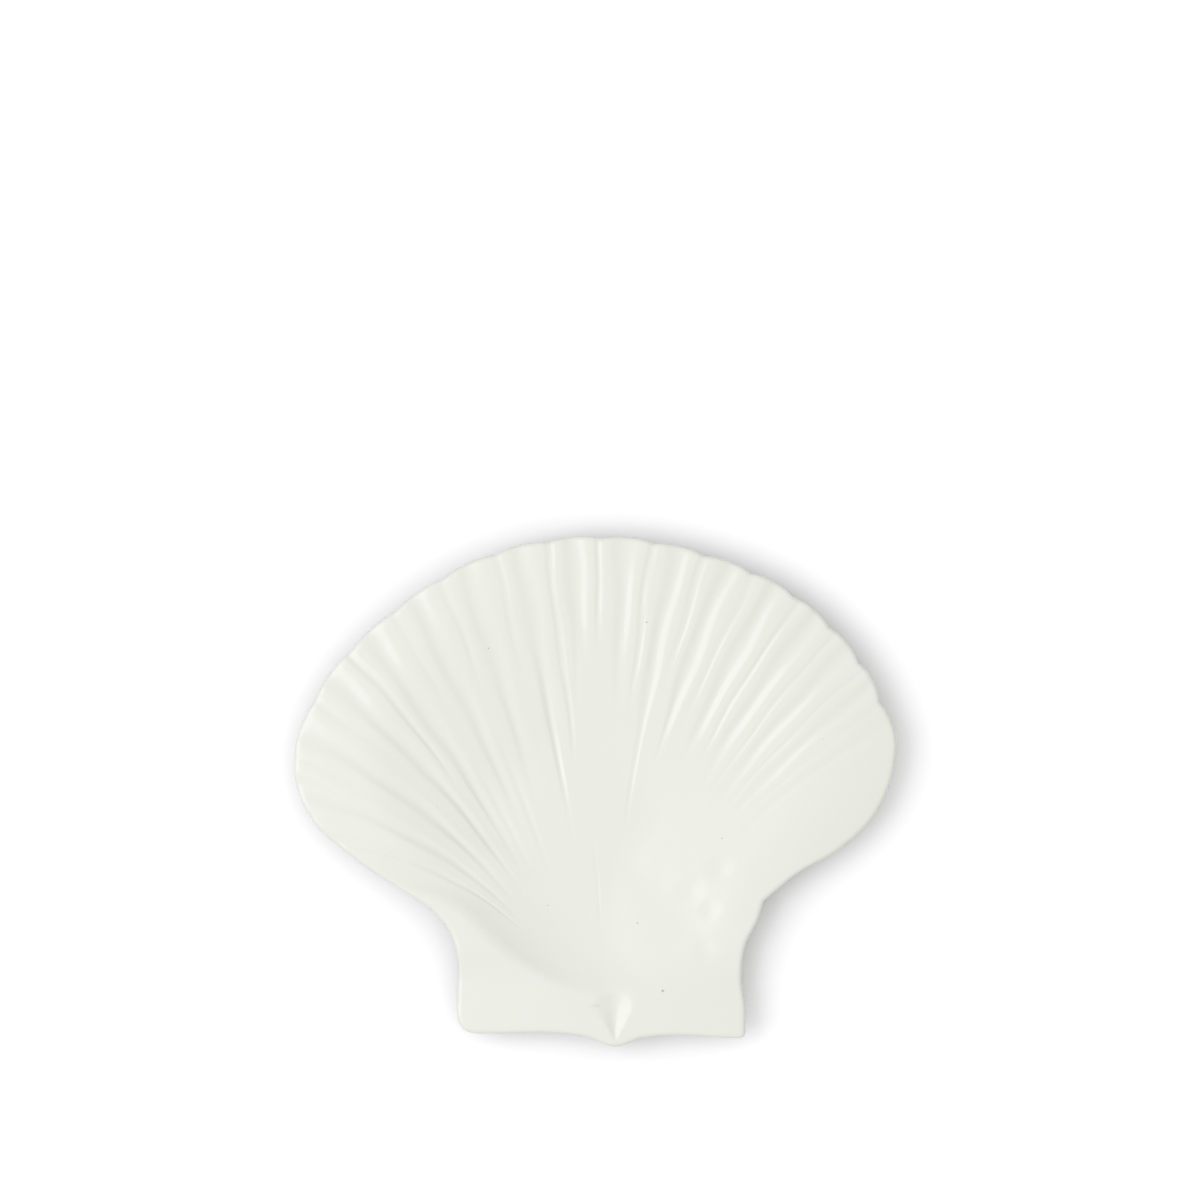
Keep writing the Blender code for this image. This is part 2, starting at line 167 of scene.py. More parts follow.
def corner(x, radius, degrees):
    """An ear's rounded corner beside the hinge line."""
    return [(x + radius * math.cos(math.radians(d)), hinge_y(x) + radius * (1 + math.sin(math.radians(d))))
            for d in degrees]


def left_ear_side():
    """From the left neck down the side of the ear and round its soft corner."""
    bottom = hinge_y(-EAR_REACH_LEFT) + 2 * EAR_CORNER_LEFT
    side = ear_side(LEFT_EAR_SIDE, -EAR_REACH_LEFT, bottom, on_plan(LEFT_FLANK)[-1])
    return side + corner(EAR_CORNER_LEFT - EAR_REACH_LEFT, EAR_CORNER_LEFT, (180, 210, 240, 270))


def right_ear_side():
    """Round the small right corner and up the hollow side of the ear to the right neck."""
    bottom = hinge_y(EAR_REACH_RIGHT) + 2 * EAR_CORNER_RIGHT
    side = ear_side(RIGHT_EAR_SIDE, EAR_REACH_RIGHT, bottom, on_plan(RIGHT_FLANK)[0])
    return corner(EAR_REACH_RIGHT - EAR_CORNER_RIGHT, EAR_CORNER_RIGHT, (270, 300, 330, 360)) + side


# %% [markdown]
# The outline is cut into stretches, so that each rib gets the same number of mesh columns, and each ear
# gets enough for its corner. The ribs grow wider from right to left. Within a rib the rim swells out a
# little, and it is cut in between one rib and the next, which makes the scalloped edge.

# %% The columns of the mesh round the outline
RIBS = 17
RIB_GROWTH = 0.27
RIB_COLUMNS = 32
RIGHT_FLANK_COLUMNS = 40
LEFT_FLANK_COLUMNS = 16
LEFT_EAR_COLUMNS = 48
HINGE_COLUMNS = 96
RIGHT_EAR_COLUMNS = 32
STRETCHES = (
    (RIGHT_FLANK_COLUMNS, spline(on_plan(RIGHT_FLANK))),
    (RIBS * RIB_COLUMNS, spline(on_plan(RIBBED_RIM))),
    (LEFT_FLANK_COLUMNS, spline(on_plan(LEFT_FLANK))),
    (LEFT_EAR_COLUMNS, spline(left_ear_side())),
    (HINGE_COLUMNS, spline(hinge_line())),
    (RIGHT_EAR_COLUMNS, spline(right_ear_side())),
)
RIBBED_STRETCH = 1
FAN_COLUMNS = RIGHT_FLANK_COLUMNS + RIBS * RIB_COLUMNS + LEFT_FLANK_COLUMNS
COLUMNS = sum(count for count, curve in STRETCHES)
print(f"outline: {COLUMNS} columns, {RIBS} ribs")

# %% The outline
LOBE_REACH_RIGHT = 0.0012
LOBE_REACH_LEFT = 0.0006
LOBE_CUT_RIGHT = 0.0006
LOBE_CUT_LEFT = 0.0001


def fan_place(column):
    """How far a column is along the fan, counted in ribs from the right: below 0 on the right flank."""
    along = np.asarray(column, float) - RIGHT_FLANK_COLUMNS
    beyond = along - RIBS * RIB_COLUMNS
    place = np.where(along < 0, along / RIGHT_FLANK_COLUMNS, along / RIB_COLUMNS)
    return np.where(beyond > 0, RIBS + beyond / LEFT_FLANK_COLUMNS, place)


def outline():
    """The outline's points in metres, one for each column."""
    points = []
    for number, (count, (curve, length)) in enumerate(STRETCHES):
        share = np.arange(count) / count
        place = share * RIBS
        if number == RIBBED_STRETCH:
            share = share * (1 + RIB_GROWTH * share) / (1 + RIB_GROWTH)
        stretch = np.stack([np.interp(share, length, way) for way in curve.T], axis=1)
        if number == RIBBED_STRETCH:
            away = stretch - BOWL_BOTTOM
            away /= np.linalg.norm(away, axis=1, keepdims=True)
            reach = LOBE_REACH_RIGHT + (LOBE_REACH_LEFT - LOBE_REACH_RIGHT) * place / RIBS
            cut = LOBE_CUT_RIGHT + (LOBE_CUT_LEFT - LOBE_CUT_RIGHT) * place / RIBS
            lobe = np.sin(math.pi * (place % 1))
            stretch += away * (reach * lobe - cut * (1 - lobe) ** 2)[:, None]
        points.append(stretch)
    return np.vstack(points)


OUTLINE = outline()
print(f"outline: {np.ptp(OUTLINE[:, 0]) * 1000:.1f} x {np.ptp(OUTLINE[:, 1]) * 1000:.1f} mm")

# %% [markdown]
# The rim is rounded, so each column needs to know which way is out, square to the outline. That way
# comes from the edges before and after its point. At a corner it is longer than 1, so that the rim
# keeps its width there.

# %% The way out of the outline
before = OUTLINE - np.roll(OUTLINE, 1, axis=0)
after = np.roll(OUTLINE, -1, axis=0) - OUTLINE
before /= np.linalg.norm(before, axis=1, keepdims=True)
after /= np.linalg.norm(after, axis=1, keepdims=True)
along = (before + after) / (1 + (before * after).sum(axis=1, keepdims=True))
OUTWARD = np.stack([along[:, 1], -along[:, 0]], axis=1)
print(f"sharpest corner: the way out is {np.linalg.norm(OUTWARD, axis=1).max():.3f} long")

# %% [markdown]
# ## The bowl
# The height of the bowl depends on how far a point is on the way from the lowest point to the edge.
# Under the fan the wall rises and then rolls over into a level lip, and at the left ear it meets the
# level in a crease. What changes round the bowl is given by direction, in degrees from the right: the
# shares of the way at which the floor ends and the lip begins, how far the lip droops, how much of the
# crease there is instead of a lip, and how far the crease is rounded.

# %% The bowl's shape by direction
FLOOR_SHARES = ((0, 0.0), (60, 0.12), (120, 0.28), (180, 0.34), (240, 0.20), (300, 0.05))
LIP_SHARES = ((0, 0.80), (30, 0.85), (60, 0.91), (90, 0.93), (120, 0.92), (150, 0.85), (180, 0.77),
              (200, 0.94), (225, 1.00), (270, 1.00), (315, 1.00), (335, 0.93))
LIP_DROOPS = ((0, 0.040), (45, 0.040), (90, 0.030), (135, 0.028), (180, 0.028), (205, 0.010),
              (230, 0.0), (270, 0.0), (315, 0.0), (335, 0.018))
CRISPNESS = ((0, 0.0), (90, 0.0), (180, 0.0), (200, 0.9), (230, 1.0), (265, 0.9), (290, 0.5),
             (320, 0.3), (345, 0.1))
CREASE_ROUNDS = ((0, 0.20), (90, 0.10), (180, 0.05), (230, 0.05), (270, 0.10), (310, 0.25))


def all_round(table):
    """A smooth curve through values by direction in degrees, closed over the full turn."""
    ends = [(degrees - 360, value) for degrees, value in table[-2:]]
    begins = [(degrees + 360, value) for degrees, value in table[:2]]
    curve = spline(ends + list(table) + begins)[0]
    values = [value for degrees, value in table]
    return np.column_stack([curve[:, 0], np.clip(curve[:, 1], min(values), max(values))])


CURVES = [all_round(table) for table in (FLOOR_SHARES, LIP_SHARES, LIP_DROOPS, CRISPNESS, CREASE_ROUNDS)]
print(f"bowl: {len(CURVES)} curves by direction")

# %% [markdown]
# The bowl's edge is the rim itself round the fan. Between the bowl and the ears it follows the crease
# instead. The distance to it is averaged over a few degrees to each side, and over more on the right,
# where the real bowl runs softly into the ear.

# %% The bowl's edge
LEFT_CREASE = ((-0.620, -0.370), (-0.480, -0.430), (-0.315, -0.610), (-0.182, -0.740), (-0.008, -0.795))
RIGHT_CREASE = ((0.125, -0.800), (0.235, -0.770), (0.368, -0.715), (0.468, -0.630), (0.518, -0.512))
EDGE_BLUR_LEFT = 4
EDGE_BLUR_RIGHT = 18


def bowl_edge():
    """How far the bowl's edge is from its lowest point, by whole degrees."""
    fan = OUTLINE[:FAN_COLUMNS + 1]
    crease = spline(on_plan(LEFT_CREASE + RIGHT_CREASE))[0]
    away = np.vstack([fan, crease]) - BOWL_BOTTOM
    degrees = np.degrees(np.arctan2(away[:, 1], away[:, 0])) % 360
    order = np.argsort(degrees)
    whole = np.arange(360)
    reach = np.interp(whole, degrees[order], np.linalg.norm(away, axis=1)[order], period=360)
    left, right = (np.mean([np.roll(reach, turn) for turn in range(-blur, blur + 1)], axis=0)
                   for blur in (EDGE_BLUR_LEFT, EDGE_BLUR_RIGHT))
    return left + (right - left) * (0.5 + 0.5 * np.cos(np.radians(whole)))


EDGE_REACH = bowl_edge()
print(f"bowl's edge: {EDGE_REACH.min() * 1000:.0f} to {EDGE_REACH.max() * 1000:.0f} mm away")

# %% Height of the bowl
ROUNDING = 0.20
CREASE_POWER = 4.6


def ramp(climb):
    """Rises from 0 to 1 at one slope, rounded off at both ends."""
    climb = np.clip(climb, 0, 1)
    low = np.minimum(climb, 1 - climb)
    eased = np.where(low < ROUNDING, low ** 2 / (2 * ROUNDING), low - ROUNDING / 2) / (1 - ROUNDING)
    return np.where(climb < 0.5, eased, 1 - eased)


def soft_min(first, second, blend):
    """The lower of two values, rounded over where they meet."""
    share = np.clip(0.5 + 0.5 * (second - first) / blend, 0.0, 1.0)
    return second + (first - second) * share - blend * share * (1 - share)


def bowl_height(points):
    """Height of the smooth bowl, without ribs: a low floor, a rising wall and a lip that rolls over."""
    away = points - BOWL_BOTTOM
    degrees = np.degrees(np.arctan2(away[:, 1], away[:, 0])) % 360
    edge = np.interp(degrees, np.arange(360), EDGE_REACH, period=360)
    share = np.linalg.norm(away, axis=1) / edge
    flat, lip, droop, crisp, rounding = (np.interp(degrees, *curve.T) for curve in CURVES)
    rolled = ramp((share - flat) / (lip - flat))
    creased = soft_min(share, 1.0, rounding) ** CREASE_POWER
    sunk = droop * np.maximum(share - lip, 0.0) ** 2
    return FLOOR + (HEIGHT - FLOOR) * (rolled + crisp * (creased - rolled)) - sunk


# %% [markdown]
# The beak holds a small V-shaped pocket, pointed at its tip and widest where it runs out into the bowl.

# %% The beak's pocket
POCKET_LENGTH = 0.032
POCKET_TAPER = 0.018
POCKET_WIDTH = 0.022
POCKET_DEPTH = 0.0026
POCKET_TIP_SHARE = 0.05


def pocket_cut(points):
    """How deep the beak's V-shaped pocket is at each point."""
    from_tip = points[:, 1] + LENGTH / 2 - RIM_RADIUS
    opening = np.clip(from_tip / POCKET_LENGTH, 0, 1)
    half_width = POCKET_WIDTH / 2 * np.clip(from_tip / POCKET_TAPER, POCKET_TIP_SHARE, 1)
    across = np.clip(np.abs(points[:, 0] - BEAK_X) / half_width, 0, 1)
    return POCKET_DEPTH * np.sin(math.pi * opening) * (1 - smooth_step(across))


# %% [markdown]
# ## The ribs
# A column of the mesh follows the line of a rib, so the depth of the ribs can be told from the column
# and from how far along it a point is. Each rib is a broad channel with a depth of its own, and a
# narrow notch lies between one rib and the next. They are counted from the right.

# %% Depth of each channel and notch
RIB_DEPTH = 0.0012
CREST = 0.20
BOTTOMS = ((8, 0.50), (11, 0.54))
CHANNELS = (0.25, 0.50, 0.65, 0.85, 0.90, 0.85, 0.80, 0.70, 0.80, 0.60, 0.60, 0.65, 0.75, 0.85, 0.80,
            0.75, 0.50)
NOTCH_DEPTH = 0.0006
NOTCH_HALF = 0.11
NOTCHES = (0.0, 0.2, 0.4, 0.5, 0.8, 0.6, 0.8, 0.8, 0.9, 0.8, 0.5, 0.6, 0.4, 1.3, 0.5, 0.3, 0.2, 0.0)
print(f"channels: up to {RIB_DEPTH * max(CHANNELS) * 1000:.1f} mm deep")
print(f"notches: up to {NOTCH_DEPTH * max(NOTCHES) * 1000:.1f} mm deeper")

# %% [markdown]
# The ribs aren't ruled lines. They are shifted a little along the fan and wander as they run, by shares
# of a rib. Towards the hinge they fade into the smooth floor, earlier on the right than on the left:
# for some places along the fan, the table has the shares of the column where a rib starts to show and
# where it has its whole depth. At the rim the ribs are a little fuller again.

# %% Shifts and inner ends of the ribs
SHIFTS = ((0, 0.0), (1, 0.10), (2, 0.18), (3, 0.18), (4, 0.11), (5, 0.05), (6, 0.02), (7, -0.04),
          (8, -0.08), (9, -0.03), (10, 0.0), (11, -0.06), (12, -0.07), (13, -0.04), (15, 0.0), (17, 0.0))
WANDER = 0.020
WANDER_ACROSS = (7.1, 3.7)
WANDER_ALONG = (19, -31)
FADES = ((0, 0.50, 0.85), (3, 0.50, 0.80), (3.9, 0.58, 0.72), (4.5, 0.55, 0.75), (5, 0.62, 0.80),
         (5.5, 0.52, 0.72), (6, 0.72, 0.86), (6.4, 0.50, 0.74), (7, 0.62, 0.78), (7.6, 0.62, 0.84),
         (8.1, 0.74, 0.88), (8.6, 0.70, 0.86), (9, 0.50, 0.64), (9.6, 0.52, 0.70), (10.2, 0.48, 0.66),
         (11.5, 0.38, 0.66), (13, 0.28, 0.60), (15, 0.28, 0.56), (17, 0.28, 0.52))
NOTCH_FADES = ((9.4, 0.30, 0.40), (9.7, 0.72, 0.84), (12.6, 0.74, 0.86), (12.8, 0.58, 0.74),
               (13.3, 0.58, 0.74), (13.6, 0.74, 0.88))
RIM_FADE = 0.78
RIM_RELIEF = 1.15

# %% [markdown]
# The ribs look carved by hand, so here and there a single groove runs on further towards the hinge than
# its neighbours. Each has a place along the fan, the shares of the column where it begins and ends, its
# half width in ribs and its depth.

# %% Depth of the ribs
GROOVES = ((9.58, 0.34, 0.80, 0.15, 0.0008), (6.52, 0.34, 0.70, 0.24, 0.0003),
           (8.60, 0.12, 0.38, 0.20, 0.0002), (11.18, 0.28, 0.66, 0.24, 0.0004),
           (12.18, 0.30, 0.64, 0.24, 0.0004))


def fade_in(table, place, share):
    """Rises from 0 to 1 along a column, between the two shares that the table gives for its place."""
    places, starts, ends = np.transpose(table)
    start = np.interp(place, places, starts)
    end = np.interp(place, places, ends)
    return smooth_step((share - start) / (end - start))


def relief(column, share):
    """Depth of the ribs below their crests: channels, the notches between them, and single grooves."""
    place = fan_place(column)
    wander = WANDER * sum(np.sin(across * place + down * share)
                          for across, down in zip(WANDER_ACROSS, WANDER_ALONG))
    turned = np.clip(place + np.interp(place, *np.transpose(SHIFTS)) + wander, 0, RIBS - TINY)
    phase = turned % 1
    bottom = np.interp(place, *np.transpose(BOTTOMS))
    down = np.minimum((phase - CREST) / (bottom - CREST), (1 - CREST - phase) / (1 - CREST - bottom))
    channel = 0.5 - 0.5 * np.cos(math.pi * np.clip(down, 0, 1))
    notch = 0.5 + 0.5 * np.cos(math.pi * np.minimum(np.minimum(phase, 1 - phase) / NOTCH_HALF, 1))
    depth = RIB_DEPTH * channel * np.take(CHANNELS, turned.astype(int))
    notch *= NOTCH_DEPTH * np.take(NOTCHES, np.round(turned).astype(int))
    depth = (depth + notch * fade_in(NOTCH_FADES, place, share)) * fade_in(FADES, place, share)
    depth *= 1 - (1 - RIM_RELIEF) * smooth_step((share - RIM_FADE) / (1 - RIM_FADE))
    for middle, begin, finish, half, deep in GROOVES:
        across = 0.5 + 0.5 * np.cos(math.pi * np.clip((place - middle) / half, -1, 1))
        depth += deep * across * np.sin(math.pi * np.clip((share - begin) / (finish - begin), 0, 1)) ** 2
    return np.where((place >= 0) & (place <= RIBS), depth, 0.0)


# %% [markdown]
# The columns leave a point near the hinge in a bundle and bend outward, as the ribs of the real shell
# do. The bend is given in degrees for some places round the outline. The ones that run to the left ear
# are spread out to the left first, so that they don't crowd there.

# %% Where each column runs
RIB_ROOT = np.array((0.0058, -0.1050))
BEND_PLACES = (-1, -0.6, -0.3, 0, 1, 5.5, 7.8, 10.5, 12.7, 13.8, 15.5, 16.4, 17, 18, 19, 20, 23, 27, 29)
BEND_DEGREES = (14, 22, 22, 17, 14, 9, 0, 0, -6, -13, -21, -23, -23, -22, -16, -10, 0, 0, 14)
ROOT_SPREAD = 0.013
SPREAD_DEGREES = (-180, -130, -50, 0)
SPREAD_END = 0.15


def plan_place(column, share):
    """Where a column is at a share of its length: the columns follow the ribs, bending outward."""
    end = OUTLINE[column] - OUTWARD[column] * RIM_RADIUS
    chord = end - RIB_ROOT
    bearing = np.arctan2(chord[:, 0], chord[:, 1])
    bend = np.radians(np.interp(fan_place(column), BEND_PLACES, BEND_DEGREES))
    start = bearing - bend
    half_way = np.linalg.norm(chord, axis=1)[:, None] / 2
    middle = RIB_ROOT + np.stack([np.sin(start), np.cos(start)], axis=1) * half_way
    share = share[:, None]
    points = RIB_ROOT * (1 - share) ** 2 + middle * (2 * share * (1 - share)) + end * share ** 2
    spread = ROOT_SPREAD * smooth_step(np.interp(np.degrees(bearing), SPREAD_DEGREES, (0, 1, 1, 0)))
    points[:, 0] -= spread * smooth_step(share[:, 0] / SPREAD_END) * (1 - share[:, 0])
    return points


# %% [markdown]
# Clay is smoothed by hand before it is glazed, which leaves shallow dents. A few of them show beside
# the right ear. Each has a place, a radius and a depth.

# %% The dents
DENTS = ((0.0615, -0.0380, 0.008, 0.00045), (0.0475, -0.0500, 0.009, 0.00045),
         (0.0570, -0.0590, 0.007, 0.0004), (0.0545, -0.0790, 0.008, 0.00045))


def dents(points):
    """How deep the dents beside the right ear are at each point."""
    depth = np.zeros(len(points))
    for x, y, radius, deep in DENTS:
        away = np.hypot(points[:, 0] - x, points[:, 1] - y) / radius
        depth += deep * (1 - smooth_step(away))
    return depth


# %% [markdown]
# The upper face is the ribbed bowl, and towards the hinge it can't rise past the two ears. They are
# nearly level: they droop a little to both sides. The lower face lies a wall's thickness below it,
# measured square to the smooth bowl, so straight down the wall is thicker where the bowl is steep.

# %% Height of the upper face
EAR_DROP = 0.0008
EAR_DROOP = 0.0025
EAR_DEPTH = 0.030
EAR_BLEND = 0.020
EAR_ROUND = 0.0012


def top_height(points, column, share):
    """Height of the upper face: the ribbed bowl, and the nearly level ears with the beak's pocket."""
    bowl = bowl_height(points) - relief(column, share) - dents(points)
    level = HEIGHT - EAR_DROP - EAR_DROOP * ((points[:, 0] - BEAK_X) / EAR_REACH_RIGHT) ** 2
    ears = soft_min(bowl, level - pocket_cut(points), EAR_ROUND)
    in_ears = smooth_step(1 + (EAR_DEPTH - LENGTH / 2 - points[:, 1]) / EAR_BLEND)
    return bowl + (ears - bowl) * in_ears


def slope_factor(points, step=0.002):
    """How much longer the wall is measured straight down than square to its face."""
    slopes = []
    for way in (np.array((step, 0)), np.array((0, step))):
        slopes.append((bowl_height(points + way) - bowl_height(points - way)) / (2 * step))
    return np.sqrt(1 + slopes[0] ** 2 + slopes[1] ** 2)


# %% [markdown]
# ## The shell as a mesh
# The mesh starts as a flat coin: rings of edges are extruded outward from a small disc, and the
# number of columns doubles twice on the way. The coin's lower half is its mirror image, and a few
# rings join them round the rim. Then each point of the coin moves to its place on the shell, so the
# rows stay closer together where the surface turns sharply.

# %% The coin
CORE_COLUMNS = COLUMNS // 4
COARSE_ROWS = tuple(np.linspace(0.012, 0.15, 24))
MIDDLE_ROWS = tuple(np.linspace(0.17, 0.50, 18))
FINE_ROWS = tuple(np.linspace(0.52, 0.92, 20)) + (0.935, 0.95, 0.964, 0.977, 0.989, 1.0)
RIM_STEPS = 4


def open_edges(items):
    """The edges among some new geometry that have a face on one side only."""
    return [item for item in items if isinstance(item, bmesh.types.BMEdge) and len(item.link_faces) == 1]


def grow_ring(bm, ring, radius):
    """Extrudes the outer ring of edges and moves it outward to the given radius."""
    grown = bmesh.ops.extrude_edge_only(bm, edges=ring)["geom"]
    for vert in [item for item in grown if isinstance(item, bmesh.types.BMVert)]:
        vert.co = vert.co.normalized() * radius
    return open_edges(grown)


def divide_ring(bm, ring, radius):
    """Puts a new vertex in the middle of each edge of the outer ring."""
    divided = bmesh.ops.subdivide_edges(bm, edges=ring, cuts=1)["geom_split"]
    for vert in [item for item in divided if isinstance(item, bmesh.types.BMVert)]:
        vert.co = vert.co.normalized() * radius
    return [item for item in divided if isinstance(item, bmesh.types.BMEdge)]


def coin():
    """A flat coin of rings and columns, one high, with its lower half mirrored."""
    bm = bmesh.new()
    bmesh.ops.create_circle(bm, cap_ends=True, cap_tris=True, segments=CORE_COLUMNS, radius=COARSE_ROWS[0])
    ring = open_edges(bm.edges)
    for radius in COARSE_ROWS[1:]:
        ring = grow_ring(bm, ring, radius)
    ring = divide_ring(bm, ring, COARSE_ROWS[-1])
    for radius in MIDDLE_ROWS:
        ring = grow_ring(bm, ring, radius)
    ring = divide_ring(bm, ring, MIDDLE_ROWS[-1])
    for radius in FINE_ROWS:
        ring = grow_ring(bm, ring, radius)
    bmesh.ops.translate(bm, verts=bm.verts, vec=(0, 0, 1))
    for step in range(RIM_STEPS):
        grown = bmesh.ops.extrude_edge_only(bm, edges=ring)["geom"]
        verts = [item for item in grown if isinstance(item, bmesh.types.BMVert)]
        bmesh.ops.translate(bm, verts=verts, vec=(0, 0, -1 / RIM_STEPS))
        ring = open_edges(grown)
    bmesh.ops.mirror(bm, geom=bm.verts[:] + bm.edges[:] + bm.faces[:], axis="Z", merge_dist=TINY)
    return bm


# %% [markdown]
# A point of the coin says three things: its turn is the column, its distance from the middle is how far
# along the column it is, and its height is how far it has rolled round the rim. The ribs show softer on
# the underside, and match the upper face only at the rim.

# %% The coin moved to the shell
UNDERSIDE_RELIEF = 0.6
RIM_MATCH = 6
COIN_FACE = 0.999


def shell_places(flat):
    """The places of the coin's points on the shell."""
    share = np.hypot(flat[:, 0], flat[:, 1])
    turn = np.arctan2(flat[:, 1], flat[:, 0]) % (2 * math.pi)
    column = np.round(turn / (2 * math.pi) * COLUMNS).astype(int) % COLUMNS
    points = plan_place(column, share)
    top = top_height(points, column, share)
    smoothed = relief(column, share) * (1 - UNDERSIDE_RELIEF) * (1 - share ** RIM_MATCH)
    under = top - WALL * slope_factor(points) + smoothed
    roll = flat[:, 2] * math.pi / 2
    rim = np.abs(flat[:, 2]) < COIN_FACE
    points = points + OUTWARD[column] * (RIM_RADIUS * np.cos(roll) * rim)[:, None]
    height = (top + under) / 2 + (top - under) / 2 * np.sin(roll)
    return np.column_stack([points, height])


def shell():
    """The ribbed shell as one closed mesh."""
    bm = coin()
    places = shell_places(np.array([vert.co for vert in bm.verts]))
    for vert, place in zip(bm.verts, places):
        vert.co = place
    bmesh.ops.recalc_face_normals(bm, faces=bm.faces)
    mesh = bpy.data.meshes.new("glazed_shell")
    bm.to_mesh(mesh)
    bm.free()
    mesh.shade_smooth()
    return mesh


platter = bpy.data.objects.new("glazed_shell", shell())
bpy.context.scene.collection.objects.link(platter)
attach(platter, "root")
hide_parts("platter")
triangles = sum(len(face.vertices) - 2 for face in platter.data.polygons)
print(f"shell: {len(platter.data.vertices)} points, {triangles} triangles")

# %% [markdown]
# ## The foot ring
# A plate stands on a raised ring. Its lowest band is wiped clean before the firing, so that the glaze
# doesn't bake it to the kiln shelf, and the bare clay there is matt and a little warmer. The ring is
# one section swept round an oval. Its walls flare where they run up into the shell, as a mould needs.

# %% The foot ring's section
FOOT_WIDTH = 0.104
FOOT_LENGTH = 0.078
FOOT_CENTRE = np.array((0.0050, -0.0150))
FOOT_BAND = 0.006
FOOT_ROUND = 0.0008
FOOT_FLARE = 0.0010
FOOT_SEGMENTS = 160
FOOT_ROUND_POINTS = 5
BURIED = 0.0012


def foot_section():
    """Points of the section from inside to outside: an inset from the foot's edge, a height, and whether
    the height is counted from the shell's underside."""
    quarter = np.linspace(0, math.pi / 2, FOOT_ROUND_POINTS)
    edge = [(FOOT_ROUND * (1 - math.sin(a)), FOOT_ROUND * (1 - math.cos(a)), False) for a in quarter]
    flare = [(-FOOT_FLARE * math.sin(a), BURIED - (BURIED + FOOT_FLARE) * math.cos(a), True)
             for a in quarter[::-1]]
    outer = flare + edge[::-1]
    inner = [(FOOT_BAND - inset, height, counted) for inset, height, counted in reversed(outer)]
    return outer + inner


# %% The foot ring


def foot_ring():
    """The oval foot: loops of its section round the oval, bridged from one to the next."""
    bm = bmesh.new()
    loops = []
    for inset, height, counted in foot_section():
        circle = bmesh.ops.create_circle(bm, segments=FOOT_SEGMENTS, radius=1.0)["verts"]
        turns = np.array([vert.co.xy for vert in circle])
        plan = FOOT_CENTRE + turns * (np.array((FOOT_WIDTH, FOOT_LENGTH)) / 2 - inset)
        heights = bowl_height(plan) - WALL + height if counted else np.full(len(plan), height)
        for vert, (x, y), z in zip(circle, plan, heights):
            vert.co = (x, y, z)
        loops.append(list({edge for vert in circle for edge in vert.link_edges}))
    for lower, upper in zip(loops, loops[1:] + loops[:1]):
        bmesh.ops.bridge_loops(bm, edges=lower + upper)
    bmesh.ops.recalc_face_normals(bm, faces=bm.faces)
    mesh = bpy.data.meshes.new("foot_ring")
    bm.to_mesh(mesh)
    bm.free()
    mesh.shade_smooth()
    return mesh


foot = bpy.data.objects.new("foot_ring", foot_ring())
bpy.context.scene.collection.objects.link(foot)
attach(foot, "root")
print(f"foot ring: {len(foot.data.polygons)} faces, {FOOT_BAND * 1000:.0f} mm wide")

# %% [markdown]
# ## Glazed ceramic
# The clay body is pale, and the glaze over it is white, a little creamy, and glossy like glass. It
# flows in the kiln, which leaves a faint waviness. Where it runs thin, the warmer clay shows through a
# little and the gloss is softer, and bubbles leave a few dark pinholes. All of it is one shader, whose
# patterns read the object's own coordinates, so that they keep their size in millimetres. Each pinhole
# has a place and a width in millimetres. It is darkest in its core and fades out to its edge.

# %% Helpers for materials


def linear(code):
    """A colour from its sRGB hex code, as the shader wants it."""
    parts = [int(code[i:i + 2], 16) / 255 for i in (1, 3, 5)]
    return tuple(c / 12.92 if c <= 0.04045 else ((c + 0.055) / 1.055) ** 2.4 for c in parts) + (1.0,)


def node(tree, kind, links=(), **settings):
    """Adds a node, sets its properties and inputs, and links sockets into it."""
    made = tree.nodes.new(kind)
    for name, value in settings.items():
        if hasattr(made, name):
            setattr(made, name, value)
        else:
            made.inputs[name.replace("_", " ")].default_value = value
    for name, source in links:
        tree.links.new(source, made.inputs[name])
    return made


# %% The pinholes
PINHOLE = "#BBB9B0"
PINHOLES = ((0.0333, -0.0990, 1.7), (0.0208, -0.0660, 1.1), (0.0253, 0.0840, 1.1), (-0.0533, 0.0710, 1.0),
            (-0.0238, -0.0575, 0.7), (0.0628, -0.0235, 0.8), (-0.0790, -0.0080, 0.6), (0.1130, 0.0260, 0.6))
EDGE_PER_MM = 0.0005
CORE_PER_MM = 0.0002


def pinholes(tree, place):
    """A mask that is 1 in each pinhole's core, from the distance to its place on the upper face."""
    bpy.context.view_layer.update()
    mask = None
    for x, y, width_mm in PINHOLES:
        top = platter.ray_cast(Vector((x, y, 2 * HEIGHT)), Vector((0, 0, -1)))[1]
        away = node(tree, "ShaderNodeVectorMath", [(0, place.outputs["Object"])], operation="DISTANCE")
        away.inputs[1].default_value = top
        dot = node(tree, "ShaderNodeMapRange", [("Value", away.outputs["Value"])], clamp=True)
        dot.inputs["From Min"].default_value = EDGE_PER_MM * width_mm
        dot.inputs["From Max"].default_value = CORE_PER_MM * width_mm
        if mask is not None:
            dot = node(tree, "ShaderNodeMath", [(0, dot.outputs[0]), (1, mask)], operation="MAXIMUM")
        mask = dot.outputs[0]
    return mask


# %% The glaze
GLAZE = "#F0F2EA"
THIN_GLAZE = "#EFF0E6"
GLAZE_IOR = 1.5
GLAZE_ROUGHNESS = (0.16, 0.26)
POOL_MM = 45.0
WAVE_MM = 9.0
WAVE_HEIGHT_MM = 0.12


